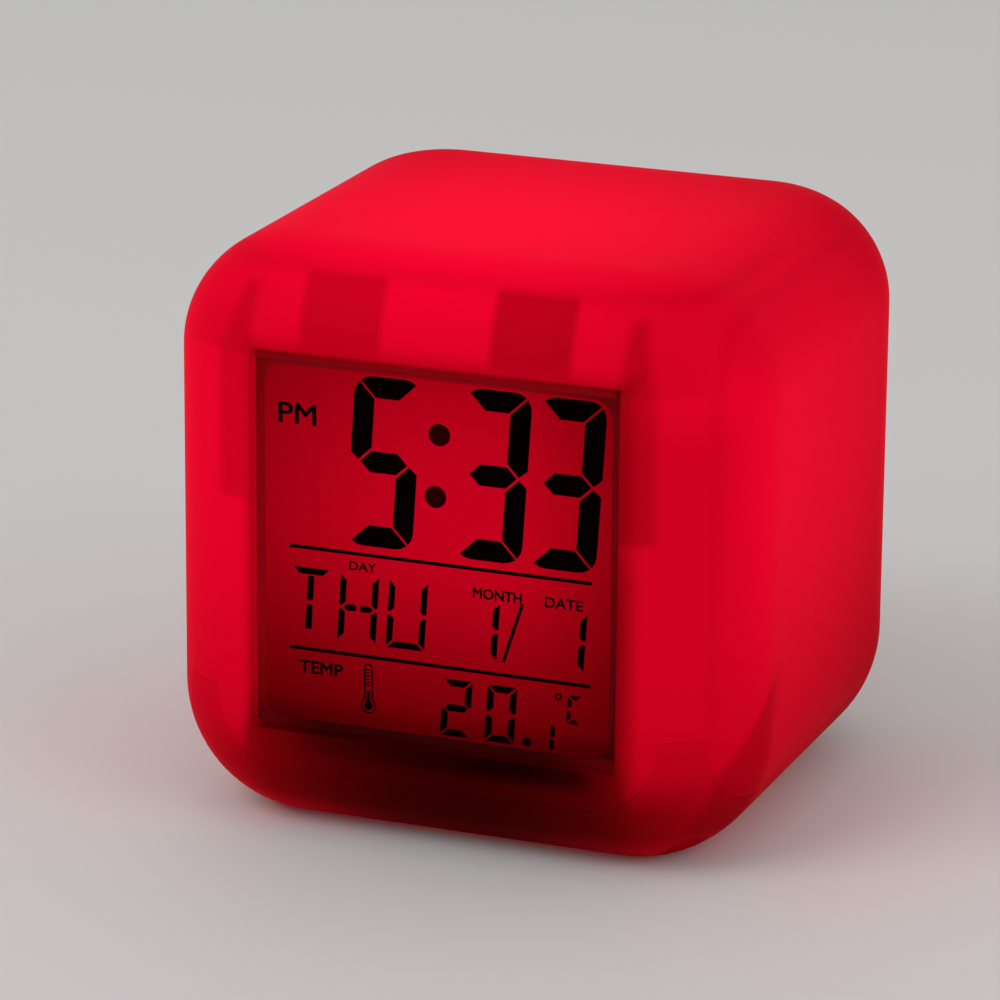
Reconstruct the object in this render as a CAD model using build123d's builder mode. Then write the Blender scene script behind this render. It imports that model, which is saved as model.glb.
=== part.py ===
from build123d import *
from math import atan2, cos, degrees, radians, sin, sqrt, tan
import os

os.makedirs("parts", exist_ok=True)

# Case form
case_width = 80.0
case_depth = 78.0
case_height = 77.0
edge_radius = 18.0
top_radius = 15.0
crown_limit_share = 0.95
wall = 2.0
base_wall = 3.6
bottom_cut = 1.0

# Clearances
fit_gap = 0.2
slide_gap = 0.25
touch_gap = 0.05
overrun = 1.0

# Parting between shell and base
skirt_level = 9.2
tab_level = 19.5
front_tab_inset = 9.8
side_tab_inset = 5.8
parting_corner = 10.0
parting_gap = 0.2
lip_height = 2.5

# Display window, lens and view area
window_side_margin = 15.2
window_top_margin = 11.8
window_bottom_margin = 15.3
window_corner = 1.2
view_side_margin = 1.25
view_top_margin = 1.8
view_bottom_margin = 0.9
view_corner = 2.6

# Display stack
mask_thickness = 0.6
glass_thickness = 0.7
segment_thickness = 0.1
diffuser_thickness = 0.5
retainer_thickness = 1.2
retainer_rail = 3.4
glass_side_margin = 2.0
glass_foot_margin = 0.65
ledge_width = 26.0
ledge_height = 2.4
holder_rim = 1.2

# Holder lugs, wings and top rail, which follow the inside of the shell
lug_width = 11.2
lug_spacing = 25.0
lug_thickness = 1.6
wing_width = 3.15
wing_drop = 31.5
rail_drop = 4.8
lug_depth = 10.5

# Display layout: widths and places across as shares of the view area's width
digit_width_share = 0.193
digit_pitch_share = 0.211
hour_place_share = -0.272
minute_place_share = 0.042
colon_place_share = -0.022
rule_length_share = 0.872
letter_width_share = 0.112
letter_pitch_share = 0.142
letter_place_share = -0.439
date_width_share = 0.068
month_place_share = 0.098
day_place_share = 0.347
slash_place_share = 0.186
slash_run_share = 0.043
temp_width_share = 0.085
temp_pitch_share = 0.129
temp_place_share = 0.004
small_place_share = 0.326
unit_width_share = 0.041
unit_place_share = 0.368
degree_place_share = 0.345
thermometer_place_share = -0.205

# Display layout: heights and levels as shares of the view area's height
digit_height_share = 0.475
digit_floor_share = 0.01
colon_level_shares = (0.171, 0.344)
upper_rule_share = -0.016
lower_rule_share = -0.304
letter_height_share = 0.195
letter_floor_share = -0.268
date_height_share = 0.166
slash_rise_share = 0.169
temp_height_share = 0.161
temp_floor_share = -0.497
small_height_share = 0.067
unit_height_share = 0.08
degree_level_share = -0.344
bulb_level_share = -0.443
thermometer_top_share = -0.324
mercury_top_share = -0.401
tick_floor_share = -0.385
tick_rise_share = 0.0088

# Display marks: strokes as shares of their digit's width
digit_stroke_share = 0.305
letter_stroke_share = 0.16
date_stroke_share = 0.266
temp_stroke_share = 0.225
unit_stroke_share = 0.28

# Display marks: rounding of a digit's outer corners and tips of its bars, as shares of its stroke
digit_corner_share = 0.85
letter_corner_share = 0.45
tip_share = 0.4

# Display marks: small ones as shares of the stroke beside them, and fine lines
colon_stroke_share = 0.52
point_stroke_share = 0.65
small_stroke_share = 0.65
rule_width = 0.45
slash_width = 0.45
segment_gap = 0.2
degree_radius = 0.48
degree_line = 0.2
thermometer_width = 1.24
thermometer_line = 0.2
bulb_radius = 1.07
mercury_radius = 0.58
mercury_width = 0.42
tick_length = 0.75
tick_width = 0.14
tick_count = 6
slant_angle = 3.5

# Batteries and their bay
battery_radius = 5.25
battery_length = 44.5
nub_radius = 1.9
nub_length = 1.2
battery_count = 4
battery_gap = 0.5
contact_room = 3.0
bay_wall = 1.5
bay_clearance = 0.3

# Battery contacts
contact_thickness = 0.4
contact_width = 8.6
contact_reach = 2.4
contact_bump_radius = 1.6
leaf_width = 5.0
leaf_height = 5.0
solder_tab_width = 3.0
solder_tab_height = 4.2

# Battery door
door_thickness = 1.5
door_lift = 0.3
door_ledge = 1.2
door_opening_margin = 1.0
tongue_width = 7.0
tongue_spacing = 24.0
tongue_length = 1.6
tongue_thickness = 1.0
tongue_floor = 1.0
tongue_root = 2.5
finger_width = 14.0
finger_depth = 0.9
finger_length = 4.0

# Corner posts and base screws
post_side_inset = 10.0
post_front_inset = 12.2
post_radius = 3.0
boss_radius = 3.8
post_top = 35.0
post_joint = 11.2
screw_recess = 4.4
web_thickness = 1.8
screw_radius = 1.3
screw_head_radius = 2.5
screw_head_height = 1.6
screw_engagement = 6.0
slot_width = 0.5
slot_depth = 0.6

# Rear panel and circuit board behind it
panel_margin = 1.0
panel_lap = 3.0
panel_thickness = 1.8
panel_corner = 3.0
board_thickness = 1.6
board_post_radius = 2.2
board_post_inset = 2.0
small_screw_radius = 0.9
small_head_radius = 1.7
small_head_height = 1.0
spacer_radius = 1.6
spacer_row_share = -0.08

# Buttons on the rear panel
cap_radius = 2.2
cap_flange = 0.5
cap_flange_thickness = 1.0
cap_recess = 0.5
cap_round = 0.6
cap_pitch_share = 0.25
cap_row_share = 0.054
button_travel = 0.8
bar_width_share = 0.72
bar_height = 6.0
bar_row_share = 0.34
plunger_radius = 1.4
plunger_rise = 1.2
plunger_root = 0.5
switch_width = 5.0
switch_height = 3.6

# Light switch on the rear panel
light_place_share = -0.25
light_row_share = -0.243
light_travel = 3.0
knob_width = 2.6
knob_height = 2.2
runner_width = 4.0
runner_height = 3.2
runner_thickness = 1.2
light_body_width = 9.4
light_body_height = 5.2
light_body_depth = 4.2
light_body_skin = 0.7

# Sounder and temperature sensor behind the rear panel
sounder_radius = 5.0
sounder_place_share = 0.26
sounder_row_share = -0.27
sounder_hole_radius = 0.8
sounder_hole_pitch = 2.6
sensor_row_share = -0.415
sensor_radius = 1.3
sensor_depth = 2.0
sensor_lead_radius = 0.3
sensor_lead_gap = 1.2
vent_width = 8.0
vent_height = 0.8
vent_pitch = 1.6
vent_count = 3

# Parts on the inner side of the circuit board
chip_radius = 5.0
chip_height = 1.8
chip_round = 1.2
chip_rise = 2.0
can_radius = 2.5
can_height = 5.5
component_inset = 7.5
crystal_radius = 1.5
crystal_length = 6.2
component_rise = 8.0
resistor_length = 3.2
resistor_width = 1.6
resistor_height = 0.6
resistor_pitch = 4.0
resistor_count = 4
resistor_drop = 10.0

# Light board above the battery bay
light_board_width = 36.0
light_board_depth = 38.0
light_board_gap = 2.0
light_board_post = 2.2
light_board_inset = 5.0
lamp_radius = 2.5
lamp_flange = 0.4
lamp_flange_height = 1.0
lamp_height = 6.0
lamp_spread_x = 18.0
lamp_spread_y = 14.0
driver_length = 5.0
driver_width = 4.0
driver_height = 1.6

# Ribbon and wires
ribbon_width = 20.0
ribbon_thickness = 0.2
ribbon_bend = 0.7
ribbon_landing = 3.0
wire_radius = 0.6
wire_bend = 1.3
wire_landing = 1.8
wire_rise = 1.8
link_radius = 0.5
link_pitch = 1.6
link_count = 3
link_place = 12.0
link_bend = 2.0
link_landing = 2.0
link_rise = 4.4

# Levels and planes of the case
half_width = case_width / 2
half_depth = case_depth / 2
form_bottom = -bottom_cut
form_height = case_height + bottom_cut
floor_top = form_bottom + base_wall
corner_x = half_width - post_side_inset
corner_y = half_depth - post_front_inset
corner_points = [(x, y) for x in (-corner_x, corner_x) for y in (-corner_y, corner_y)]

# Window and view area
window_width = case_width - 2 * window_side_margin
window_top = case_height - window_top_margin
window_height = window_top - window_bottom_margin
window_center = (window_top + window_bottom_margin) / 2
view_width = window_width - 2 * view_side_margin
view_top = window_top - view_top_margin
view_bottom = window_bottom_margin + view_bottom_margin
view_height = view_top - view_bottom
view_center = (view_top + view_bottom) / 2
wing_bottom = case_height - wing_drop
rail_bottom = case_height - rail_drop

# Planes of the display stack, counted back from the front face
seat_face = half_depth - wall
glass_face = seat_face - mask_thickness
segment_face = glass_face - glass_thickness
rear_glass_face = segment_face - segment_thickness - touch_gap
diffuser_face = rear_glass_face - glass_thickness - touch_gap
retainer_face = diffuser_face - diffuser_thickness
holder_back = retainer_face - retainer_thickness

# Outlines of the glass and holder
glass_width = view_width + 2 * glass_side_margin
glass_top = view_top + glass_side_margin
glass_bottom = view_bottom - glass_foot_margin
glass_height = glass_top - glass_bottom
glass_center = (glass_top + glass_bottom) / 2
ledge_bottom = glass_bottom - ledge_height
pocket_growth = 2 * fit_gap
holder_growth = pocket_growth + 2 * holder_rim
seat_growth = holder_growth + 2 * fit_gap

# Battery bay
battery_pitch = 2 * battery_radius + battery_gap
door_top = door_lift + door_thickness
battery_level = door_top + bay_clearance + battery_radius
bay_length = battery_length + 2 * contact_room
bay_width = battery_count * battery_pitch
bay_ceiling = battery_level + battery_radius + bay_clearance
bay_top = bay_ceiling + bay_wall
battery_rows = [(index - (battery_count - 1) / 2) * battery_pitch for index in range(battery_count)]
opening_length = battery_length + 2 * door_opening_margin
recess_length = opening_length + 2 * door_ledge
recess_width = bay_width + 2 * door_ledge
door_length = recess_length - 2 * slide_gap
door_width = recess_width - 2 * slide_gap
hinge_line = -recess_width / 2

# Rear panel, which fills the flat part of the back
flat_bottom = form_bottom + edge_radius
flat_top = case_height - top_radius
panel_width = case_width - 2 * (edge_radius + panel_margin)
panel_height = flat_top - flat_bottom - 2 * panel_margin
panel_center = (flat_top + flat_bottom) / 2
opening_width = panel_width - 2 * panel_lap
opening_height = panel_height - 2 * panel_lap

# Places of the controls on the rear panel
cap_pitch = cap_pitch_share * opening_width
cap_row = panel_center + cap_row_share * opening_height
bar_width = bar_width_share * opening_width
bar_row = panel_center + bar_row_share * opening_height
light_place = light_place_share * opening_width
light_row = panel_center + light_row_share * opening_height
sounder_place = sounder_place_share * opening_width
sounder_row = panel_center + sounder_row_share * opening_height
sensor_row = panel_center + sensor_row_share * opening_height
spacer_row = panel_center + spacer_row_share * opening_height

# Planes behind the rear panel, counted forward from the back face
panel_face = half_depth - wall
panel_back = panel_face - panel_thickness
flange_back = panel_back - touch_gap - cap_flange_thickness
switch_top = flange_back - touch_gap - plunger_rise
board_back = switch_top - switch_height
board_front = board_back - board_thickness
button_names = ["mode", "set", "down", "up"]
button_places = [(index - (len(button_names) - 1) / 2) * cap_pitch for index in range(len(button_names))]
post_x = panel_width / 2 - board_post_inset
post_z = panel_height / 2 - board_post_inset
post_points = [(x, panel_center + z) for x in (-post_x, post_x) for z in (-post_z, post_z)]
spacer_points = [(x, spacer_row) for x in (-post_x, post_x)]
can_reach = panel_width / 2 - component_inset

# Light board levels
light_board_bottom = bay_top + light_board_gap
light_board_top = light_board_bottom + board_thickness
light_post_x = light_board_width / 2 - light_board_inset
light_post_y = light_board_depth / 2 - light_board_inset
light_post_points = [(x, y) for x in (-light_post_x, light_post_x) for y in (-light_post_y, light_post_y)]


def front_plane(distance):
    """Upright plane that faces the front, this far in front of the middle."""
    return Plane.XZ.offset(distance)


def rounded_block(inset):
    """Case form with every face moved in by the inset."""
    side_radius = edge_radius - inset
    crown_radius = min(top_radius, crown_limit_share * edge_radius) - inset
    with BuildPart() as block:
        with Locations((0, 0, form_bottom + inset)):
            Box(
                case_width - 2 * inset,
                case_depth - 2 * inset,
                form_height - 2 * inset,
                align=(Align.CENTER, Align.CENTER, Align.MIN),
            )
        crown = block.edges().group_by(Axis.Z)[-1]
        fillet(block.edges() - crown, side_radius)
        fillet(block.edges().group_by(Axis.Z)[-1], crown_radius)
    return block.part


def trough(plane, half_span, inset):
    """Slot right through the case, rounded at its two lower corners."""
    with BuildPart() as slot:
        with BuildSketch(plane) as profile:
            with Locations((0, skirt_level + inset)):
                Rectangle(2 * (half_span - inset), case_height, align=(Align.CENTER, Align.MIN))
            fillet(profile.vertices().group_by(Axis.Z)[0], parting_corner - inset)
        extrude(amount=case_width, both=True)
    return slot.part


def upright_box(x_size, y_size, bottom, top):
    """Box over the middle of the case between two levels."""
    with BuildPart() as box:
        with BuildSketch(Plane.XY.offset(bottom)):
            Rectangle(x_size, y_size)
        extrude(amount=top - bottom)
    return box.part


def pillars(plane, points, radius, length):
    """Round pillars that rise from a plane."""
    with BuildPart() as group:
        with BuildSketch(plane):
            with Locations(*points):
                Circle(radius)
        extrude(amount=length)
    return group.part


def plate(distance, width, height, center, thickness, corner):
    """Upright plate with round corners, its front face this far in front of the middle."""
    with BuildPart() as sheet:
        with BuildSketch(front_plane(distance)):
            with Locations((0, center)):
                RectangleRounded(width, height, corner)
        extrude(amount=-thickness)
    return sheet.part


def screws(plane, points, radius, length, head_radius, head_height):
    """Slotted screws whose shanks rise from the plane and whose heads lie below it."""
    with BuildPart() as group:
        add(pillars(plane, points, radius, length))
        add(pillars(plane, points, head_radius, -head_height))
        with BuildSketch(plane.offset(-head_height)):
            with Locations(*points):
                Rectangle(2 * head_radius, slot_width)
        extrude(amount=slot_depth, mode=Mode.SUBTRACT)
    return group.part


def base_zone(inset):
    """Space of the base: a low slab with four corner tabs, grown upward by the inset."""
    with BuildPart() as zone:
        add(upright_box(2 * case_width, 2 * case_depth, -overrun, tab_level + inset))
        add(trough(Plane.XZ, half_width - front_tab_inset, inset), mode=Mode.SUBTRACT)
        add(trough(Plane.YZ, half_depth - side_tab_inset, inset), mode=Mode.SUBTRACT)
    return zone.part


def holder_outline(plane, growth, depth):
    """Outline of the glass with its ledge, grown all round and given a depth."""
    with BuildPart() as form:
        with BuildSketch(plane):
            with Locations((0, glass_center)):
                Rectangle(glass_width + growth, glass_height + growth)
            with Locations((0, ledge_bottom - growth / 2)):
                Rectangle(ledge_width + growth, ledge_height + growth, align=(Align.CENTER, Align.MIN))
        extrude(amount=-depth)
    return form.part


with BuildPart() as outer_form:
    add(rounded_block(0))
    add(upright_box(case_width, case_depth, form_bottom, 0), mode=Mode.SUBTRACT)


# Outer shell
with BuildPart() as shell_zone:
    add(upright_box(2 * case_width, 2 * case_depth, tab_level + parting_gap, case_height + overrun))
    add(trough(Plane.XZ, half_width - front_tab_inset, parting_gap))
    add(trough(Plane.YZ, half_depth - side_tab_inset, parting_gap))

web_bottom = tab_level + lip_height + 2 * parting_gap
web_run = edge_radius - post_side_inset
web_rise = edge_radius - post_front_inset
web_length = edge_radius - wall / 2 - sqrt(web_run**2 + web_rise**2)
with BuildPart() as outer_shell:
    add(outer_form.part)
    add(rounded_block(wall), mode=Mode.SUBTRACT)
    add(shell_zone.part, mode=Mode.INTERSECT)
    add(holder_outline(front_plane(seat_face), seat_growth, seat_face), mode=Mode.SUBTRACT)
    with BuildSketch(front_plane(half_depth + overrun)):
        with Locations((0, window_center)):
            RectangleRounded(window_width, window_height, window_corner)
    extrude(amount=-(wall + 2 * overrun), mode=Mode.SUBTRACT)
    with BuildSketch(front_plane(-half_depth - overrun)):
        with Locations((0, panel_center)):
            RectangleRounded(opening_width, opening_height, panel_corner)
    extrude(amount=wall + 2 * overrun, mode=Mode.SUBTRACT)
    post_level = post_joint + touch_gap
    add(pillars(Plane.XY.offset(post_level), corner_points, post_radius, post_top - post_level))
    for x, y in corner_points:
        with BuildSketch(Plane.XY.offset(web_bottom)):
            with Locations((x, y)):
                Rectangle(
                    web_length,
                    web_thickness,
                    rotation=degrees(atan2(web_rise * y / corner_y, web_run * x / corner_x)),
                    align=(Align.MIN, Align.CENTER),
                )
        extrude(amount=post_top - web_bottom)
    pilot_length = screw_engagement + overrun
    add(
        pillars(Plane.XY.offset(post_level), corner_points, screw_radius + touch_gap, pilot_length),
        mode=Mode.SUBTRACT,
    )
    post_plane = front_plane(-panel_face)
    board_post_length = panel_face - board_back - touch_gap
    add(pillars(post_plane, post_points, board_post_radius, board_post_length))
    pilot_plane = front_plane(-(board_back + touch_gap))
    add(
        pillars(pilot_plane, post_points, small_screw_radius + touch_gap, -board_post_length),
        mode=Mode.SUBTRACT,
    )
outer_shell.part.label = "outer_shell"
export_step(outer_shell.part, "parts/outer_shell.step")

# Base with battery bay
with BuildPart() as base_lip:
    add(rounded_block(wall + fit_gap))
    add(rounded_block(base_wall), mode=Mode.SUBTRACT)
    add(base_zone(lip_height), mode=Mode.INTERSECT)
    holder_room = half_depth - holder_back + wall + holder_rim
    add(holder_outline(front_plane(half_depth), seat_growth, holder_room), mode=Mode.SUBTRACT)

with BuildPart() as bay:
    add(upright_box(bay_length + 2 * bay_wall, bay_width + 2 * bay_wall, 0, bay_top))
    add(pillars(Plane.XY, corner_points, boss_radius, post_joint))
    add(rounded_block(base_wall / 2), mode=Mode.INTERSECT)

tongue_level = tongue_floor + touch_gap
tongue_swing = sqrt(tongue_length**2 + (tongue_level + tongue_thickness) ** 2)
with BuildPart() as base:
    add(outer_form.part)
    add(rounded_block(base_wall), mode=Mode.SUBTRACT)
    add(base_zone(0), mode=Mode.INTERSECT)
    add(base_lip.part)
    add(bay.part)
    add(upright_box(bay_length, bay_width, floor_top, bay_ceiling), mode=Mode.SUBTRACT)
    add(upright_box(opening_length, bay_width, -overrun, floor_top + overrun), mode=Mode.SUBTRACT)
    add(upright_box(recess_length, recess_width, -overrun, door_top + touch_gap), mode=Mode.SUBTRACT)
    for x in (-tongue_spacing / 2, tongue_spacing / 2):
        with BuildSketch(Plane.XY.offset(tongue_floor)):
            with Locations((x, hinge_line - tongue_length - fit_gap)):
                Rectangle(
                    tongue_width + 2 * slide_gap,
                    tongue_length + fit_gap + tongue_root + slide_gap,
                    align=(Align.CENTER, Align.MIN),
                )
        extrude(amount=tongue_swing + fit_gap - tongue_floor, mode=Mode.SUBTRACT)
    head_recess = screw_recess + screw_head_height + touch_gap
    add(pillars(Plane.XY, corner_points, screw_head_radius + fit_gap, head_recess), mode=Mode.SUBTRACT)
    add(pillars(Plane.XY, corner_points, screw_radius + fit_gap, post_joint + overrun), mode=Mode.SUBTRACT)
    terminal_line = bay_length / 2 - touch_gap - contact_thickness / 2
    for y in (battery_rows[0], battery_rows[-1]):
        with BuildSketch(Plane.XY.offset(bay_ceiling - overrun)):
            with Locations((-terminal_line, y)):
                Rectangle(contact_thickness + 2 * fit_gap, solder_tab_width + 2 * fit_gap)
        extrude(amount=bay_wall + 2 * overrun, mode=Mode.SUBTRACT)
    add(pillars(Plane.XY.offset(bay_top), light_post_points, light_board_post, light_board_gap))
    light_pilot_plane = Plane.XY.offset(light_board_bottom)
    add(
        pillars(light_pilot_plane, light_post_points, small_screw_radius + touch_gap, -light_board_gap),
        mode=Mode.SUBTRACT,
    )
base.part.label = "base"
export_step(base.part, "parts/base.step")

# Base screws
with BuildPart() as base_screws:
    head_top = screw_recess + screw_head_height
    screw_length = post_joint + screw_engagement - head_top
    head_plane = Plane.XY.offset(head_top)
    add(screws(head_plane, corner_points, screw_radius, screw_length, screw_head_radius, screw_head_height))
base_screws.part.label = "base_screws"
export_step(base_screws.part, "parts/base_screws.step")

# Battery door, hinged at its front edge on two tongues
with BuildPart() as battery_door:
    add(upright_box(door_length, door_width, door_lift, door_top))
    add(outer_form.part, mode=Mode.INTERSECT)
    for x in (-tongue_spacing / 2, tongue_spacing / 2):
        with BuildSketch(Plane.XY.offset(tongue_level)):
            with Locations((x, hinge_line - tongue_length)):
                Rectangle(tongue_width, tongue_length + tongue_root, align=(Align.CENTER, Align.MIN))
        extrude(amount=tongue_thickness)
    with BuildSketch(Plane.XY):
        with Locations((0, door_width / 2)):
            SlotOverall(finger_width, 2 * finger_length)
    extrude(amount=door_lift + finger_depth, mode=Mode.SUBTRACT)
battery_door.part.label = "battery_door"
export_step(battery_door.part, "parts/battery_door.step")

# Display lens in the window
with BuildPart() as display_lens:
    add(
        plate(
            half_depth,
            window_width - 2 * fit_gap,
            window_height - 2 * fit_gap,
            window_center,
            wall - touch_gap,
            window_corner,
        )
    )
    add(outer_form.part, mode=Mode.INTERSECT)
display_lens.part.label = "display_lens"
export_step(display_lens.part, "parts/display_lens.step")

# Display holder with its mask, lugs, wings and top rail
hug_inset = wall + fit_gap
lug_start = glass_top + pocket_growth / 2 + touch_gap
wing_start = glass_width / 2 + pocket_growth / 2 + touch_gap
wing_reach = wing_start + wing_width
with BuildPart() as hug_zone:
    with BuildSketch(front_plane(half_depth)):
        for x in (-lug_spacing / 2, lug_spacing / 2):
            with Locations((x, lug_start)):
                Rectangle(lug_width, case_height - lug_start, align=(Align.CENTER, Align.MIN))
        for x in (-1, 1):
            with Locations((x * (wing_start + wing_reach) / 2, wing_bottom)):
                Rectangle(wing_reach - wing_start, case_height - wing_bottom, align=(Align.CENTER, Align.MIN))
        with Locations((0, rail_bottom)):
            Rectangle(2 * wing_reach, case_height - rail_bottom, align=(Align.CENTER, Align.MIN))
    extrude(amount=-lug_depth)

with BuildPart() as lugs:
    add(rounded_block(hug_inset))
    add(rounded_block(hug_inset + lug_thickness), mode=Mode.SUBTRACT)
    add(hug_zone.part, mode=Mode.INTERSECT)

with BuildPart() as lcd_holder:
    add(holder_outline(front_plane(seat_face), holder_growth, seat_face - holder_back))
    pocket_depth = glass_face - holder_back + overrun
    add(holder_outline(front_plane(glass_face), pocket_growth, pocket_depth), mode=Mode.SUBTRACT)
    with BuildSketch(front_plane(seat_face + overrun)):
        with Locations((0, view_center)):
            RectangleRounded(view_width, view_height, view_corner)
    extrude(amount=-(mask_thickness + 2 * overrun), mode=Mode.SUBTRACT)
    add(lugs.part)
lcd_holder.part.label = "lcd_holder"
export_step(lcd_holder.part, "parts/lcd_holder.step")

# Display glass, diffuser and retainer
with BuildPart() as lcd_front_glass:
    add(holder_outline(front_plane(glass_face), 0, glass_thickness))
lcd_front_glass.part.label = "lcd_front_glass"
export_step(lcd_front_glass.part, "parts/lcd_front_glass.step")

with BuildPart() as lcd_rear_glass:
    with BuildSketch(front_plane(rear_glass_face)):
        with Locations((0, glass_center)):
            Rectangle(glass_width, glass_height)
    extrude(amount=-glass_thickness)
lcd_rear_glass.part.label = "lcd_rear_glass"
export_step(lcd_rear_glass.part, "parts/lcd_rear_glass.step")

with BuildPart() as lcd_diffuser:
    with BuildSketch(front_plane(diffuser_face)):
        with Locations((0, glass_center)):
            Rectangle(glass_width, glass_height)
    extrude(amount=-diffuser_thickness)
lcd_diffuser.part.label = "lcd_diffuser"
export_step(lcd_diffuser.part, "parts/lcd_diffuser.step")

with BuildPart() as lcd_retainer:
    with BuildSketch(front_plane(retainer_face)):
        with Locations((0, glass_center)):
            Rectangle(glass_width, glass_height)
            Rectangle(glass_width - 2 * retainer_rail, glass_height - 2 * retainer_rail, mode=Mode.SUBTRACT)
    extrude(amount=-retainer_thickness)
lcd_retainer.part.label = "lcd_retainer"
export_step(lcd_retainer.part, "parts/lcd_retainer.step")


def corner_arc(height, radius, first_turn, last_turn):
    """Three points on the rounded upper left corner of a digit, between two turns up from its side."""
    turns = [radians(turn) for turn in (first_turn, (first_turn + last_turn) / 2, last_turn)]
    return [(radius - radius * cos(turn), height - radius + radius * sin(turn)) for turn in turns]


def segment_outlines(width, height, stroke, corner_share):
    """Corner points of the seven bars of a digit, from its lower left corner."""
    middle = height / 2
    tip = tip_share * stroke
    corner = corner_share * stroke
    miter = 45
    upright = 90
    gap_turn = degrees(segment_gap / sqrt(2) / corner)
    left_end = corner_arc(height, corner, miter + gap_turn, upright)
    right_end = [(width - x, z) for x, z in reversed(left_end)]
    top_bar = left_end + right_end
    top_bar += [(width - stroke - segment_gap, height - stroke), (stroke + segment_gap, height - stroke)]
    upper_left = corner_arc(height, corner, 0, miter - gap_turn)
    upper_left += [
        (stroke, height - stroke - segment_gap),
        (stroke, middle + stroke - tip + segment_gap),
        (tip, middle + segment_gap),
        (0, middle + tip),
    ]
    middle_bar = [
        (stroke / 2, middle),
        (stroke, middle + stroke / 2),
        (width - stroke, middle + stroke / 2),
        (width - stroke / 2, middle),
        (width - stroke, middle - stroke / 2),
        (stroke, middle - stroke / 2),
    ]
    return {
        "a": top_bar,
        "b": [(width - x, z) for x, z in upper_left],
        "c": [(width - x, height - z) for x, z in upper_left],
        "d": [(x, height - z) for x, z in top_bar],
        "e": [(x, height - z) for x, z in upper_left],
        "f": upper_left,
        "g": middle_bar,
    }


def slanted(points, left, floor):
    """Points placed in the view area and leaned to the right."""
    lean = tan(radians(slant_angle))
    return [(left + x + lean * z, view_center + floor + z) for x, z in points]


def bar_points(start, end, width):
    """Corner points of a straight bar from one end to the other."""
    x_step = end[0] - start[0]
    z_step = end[1] - start[1]
    length = sqrt(x_step**2 + z_step**2)
    x_side = -z_step / length * width / 2
    z_side = x_step / length * width / 2
    return [
        (start[0] + x_side, start[1] + z_side),
        (end[0] + x_side, end[1] + z_side),
        (end[0] - x_side, end[1] - z_side),
        (start[0] - x_side, start[1] - z_side),
    ]


def across(share):
    """Length that is this share of the view area's width."""
    return share * view_width


def upward(share):
    """Length that is this share of the view area's height."""
    return share * view_height


# Time: hour, colon and minutes
marks = []
digit_width = across(digit_width_share)
digit_stroke = digit_stroke_share * digit_width
digit_floor = upward(digit_floor_share)
digit_bars = segment_outlines(digit_width, upward(digit_height_share), digit_stroke, digit_corner_share)
big_digits = [
    (hour_place_share, "acdfg"),
    (minute_place_share, "abcdg"),
    (minute_place_share + digit_pitch_share, "abcdg"),
]
for share, lit in big_digits:
    marks += [slanted(digit_bars[name], across(share), digit_floor) for name in lit]
lean = tan(radians(slant_angle))
colon_points = [
    (across(colon_place_share) + lean * upward(share), view_center + upward(share))
    for share in colon_level_shares
]

# Weekday: the stem of the first letter and the bar of the second are split in two
letter_width = across(letter_width_share)
letter_height = upward(letter_height_share)
letter_stroke = letter_stroke_share * letter_width
letter_floor = upward(letter_floor_share)
letter_places = [across(letter_place_share + index * letter_pitch_share) for index in range(3)]
letter_bars = segment_outlines(letter_width, letter_height, letter_stroke, letter_corner_share)
for left, lit in zip(letter_places, ("a", "befc", "bcdef")):
    marks += [slanted(letter_bars[name], left, letter_floor) for name in lit]
half_stroke = letter_stroke / 2
stem_middle = letter_width / 2
stem_end = letter_stroke + segment_gap
stem = [
    (stem_middle - half_stroke, stem_end),
    (stem_middle + half_stroke, stem_end),
    (stem_middle + half_stroke, letter_height / 2 - half_stroke),
    (stem_middle, letter_height / 2 - segment_gap),
    (stem_middle - half_stroke, letter_height / 2 - half_stroke),
]
short_bar = [
    (half_stroke + segment_gap, letter_height / 2),
    (letter_stroke + segment_gap, letter_height / 2 + half_stroke),
    (stem_middle - 2 * segment_gap, letter_height / 2 + half_stroke),
    (stem_middle - segment_gap, letter_height / 2),
    (stem_middle - 2 * segment_gap, letter_height / 2 - half_stroke),
    (letter_stroke + segment_gap, letter_height / 2 - half_stroke),
]
marks += [slanted(stem, letter_places[0], letter_floor)]
marks += [slanted([(x, letter_height - z) for x, z in stem], letter_places[0], letter_floor)]
marks += [slanted(short_bar, letter_places[1], letter_floor)]
marks += [slanted([(letter_width - x, z) for x, z in short_bar], letter_places[1], letter_floor)]

# Date: month, slash and day
date_width = across(date_width_share)
date_stroke = date_stroke_share * date_width
date_bars = segment_outlines(date_width, upward(date_height_share), date_stroke, letter_corner_share)
for share in (month_place_share, day_place_share):
    marks += [slanted(date_bars[name], across(share), letter_floor) for name in "bc"]
slash = bar_points((0, 0), (across(slash_run_share), upward(slash_rise_share)), slash_width)
marks += [slanted(slash, across(slash_place_share), letter_floor)]

# Temperature: two digits, the small tenth and the unit
temp_width = across(temp_width_share)
temp_stroke = temp_stroke_share * temp_width
temp_floor = upward(temp_floor_share)
temp_height = upward(temp_height_share)
temp_bars = segment_outlines(temp_width, temp_height, temp_stroke, letter_corner_share)
marks += [slanted(temp_bars[name], across(temp_place_share), temp_floor) for name in "abged"]
second_place = across(temp_place_share + temp_pitch_share)
marks += [slanted(temp_bars[name], second_place, temp_floor) for name in "abcdef"]
small_height = upward(small_height_share)
for low, high in (
    (0, small_height / 2 - segment_gap),
    (small_height / 2 + segment_gap, small_height),
):
    small_bar = bar_points((0, low), (0, high), small_stroke_share * temp_stroke)
    marks += [slanted(small_bar, across(small_place_share), temp_floor)]
unit_width = across(unit_width_share)
unit_height = upward(unit_height_share)
unit_stroke = unit_stroke_share * unit_width
unit_bars = segment_outlines(unit_width, unit_height, unit_stroke, letter_corner_share)
unit_floor = temp_floor + temp_height - unit_height
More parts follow.
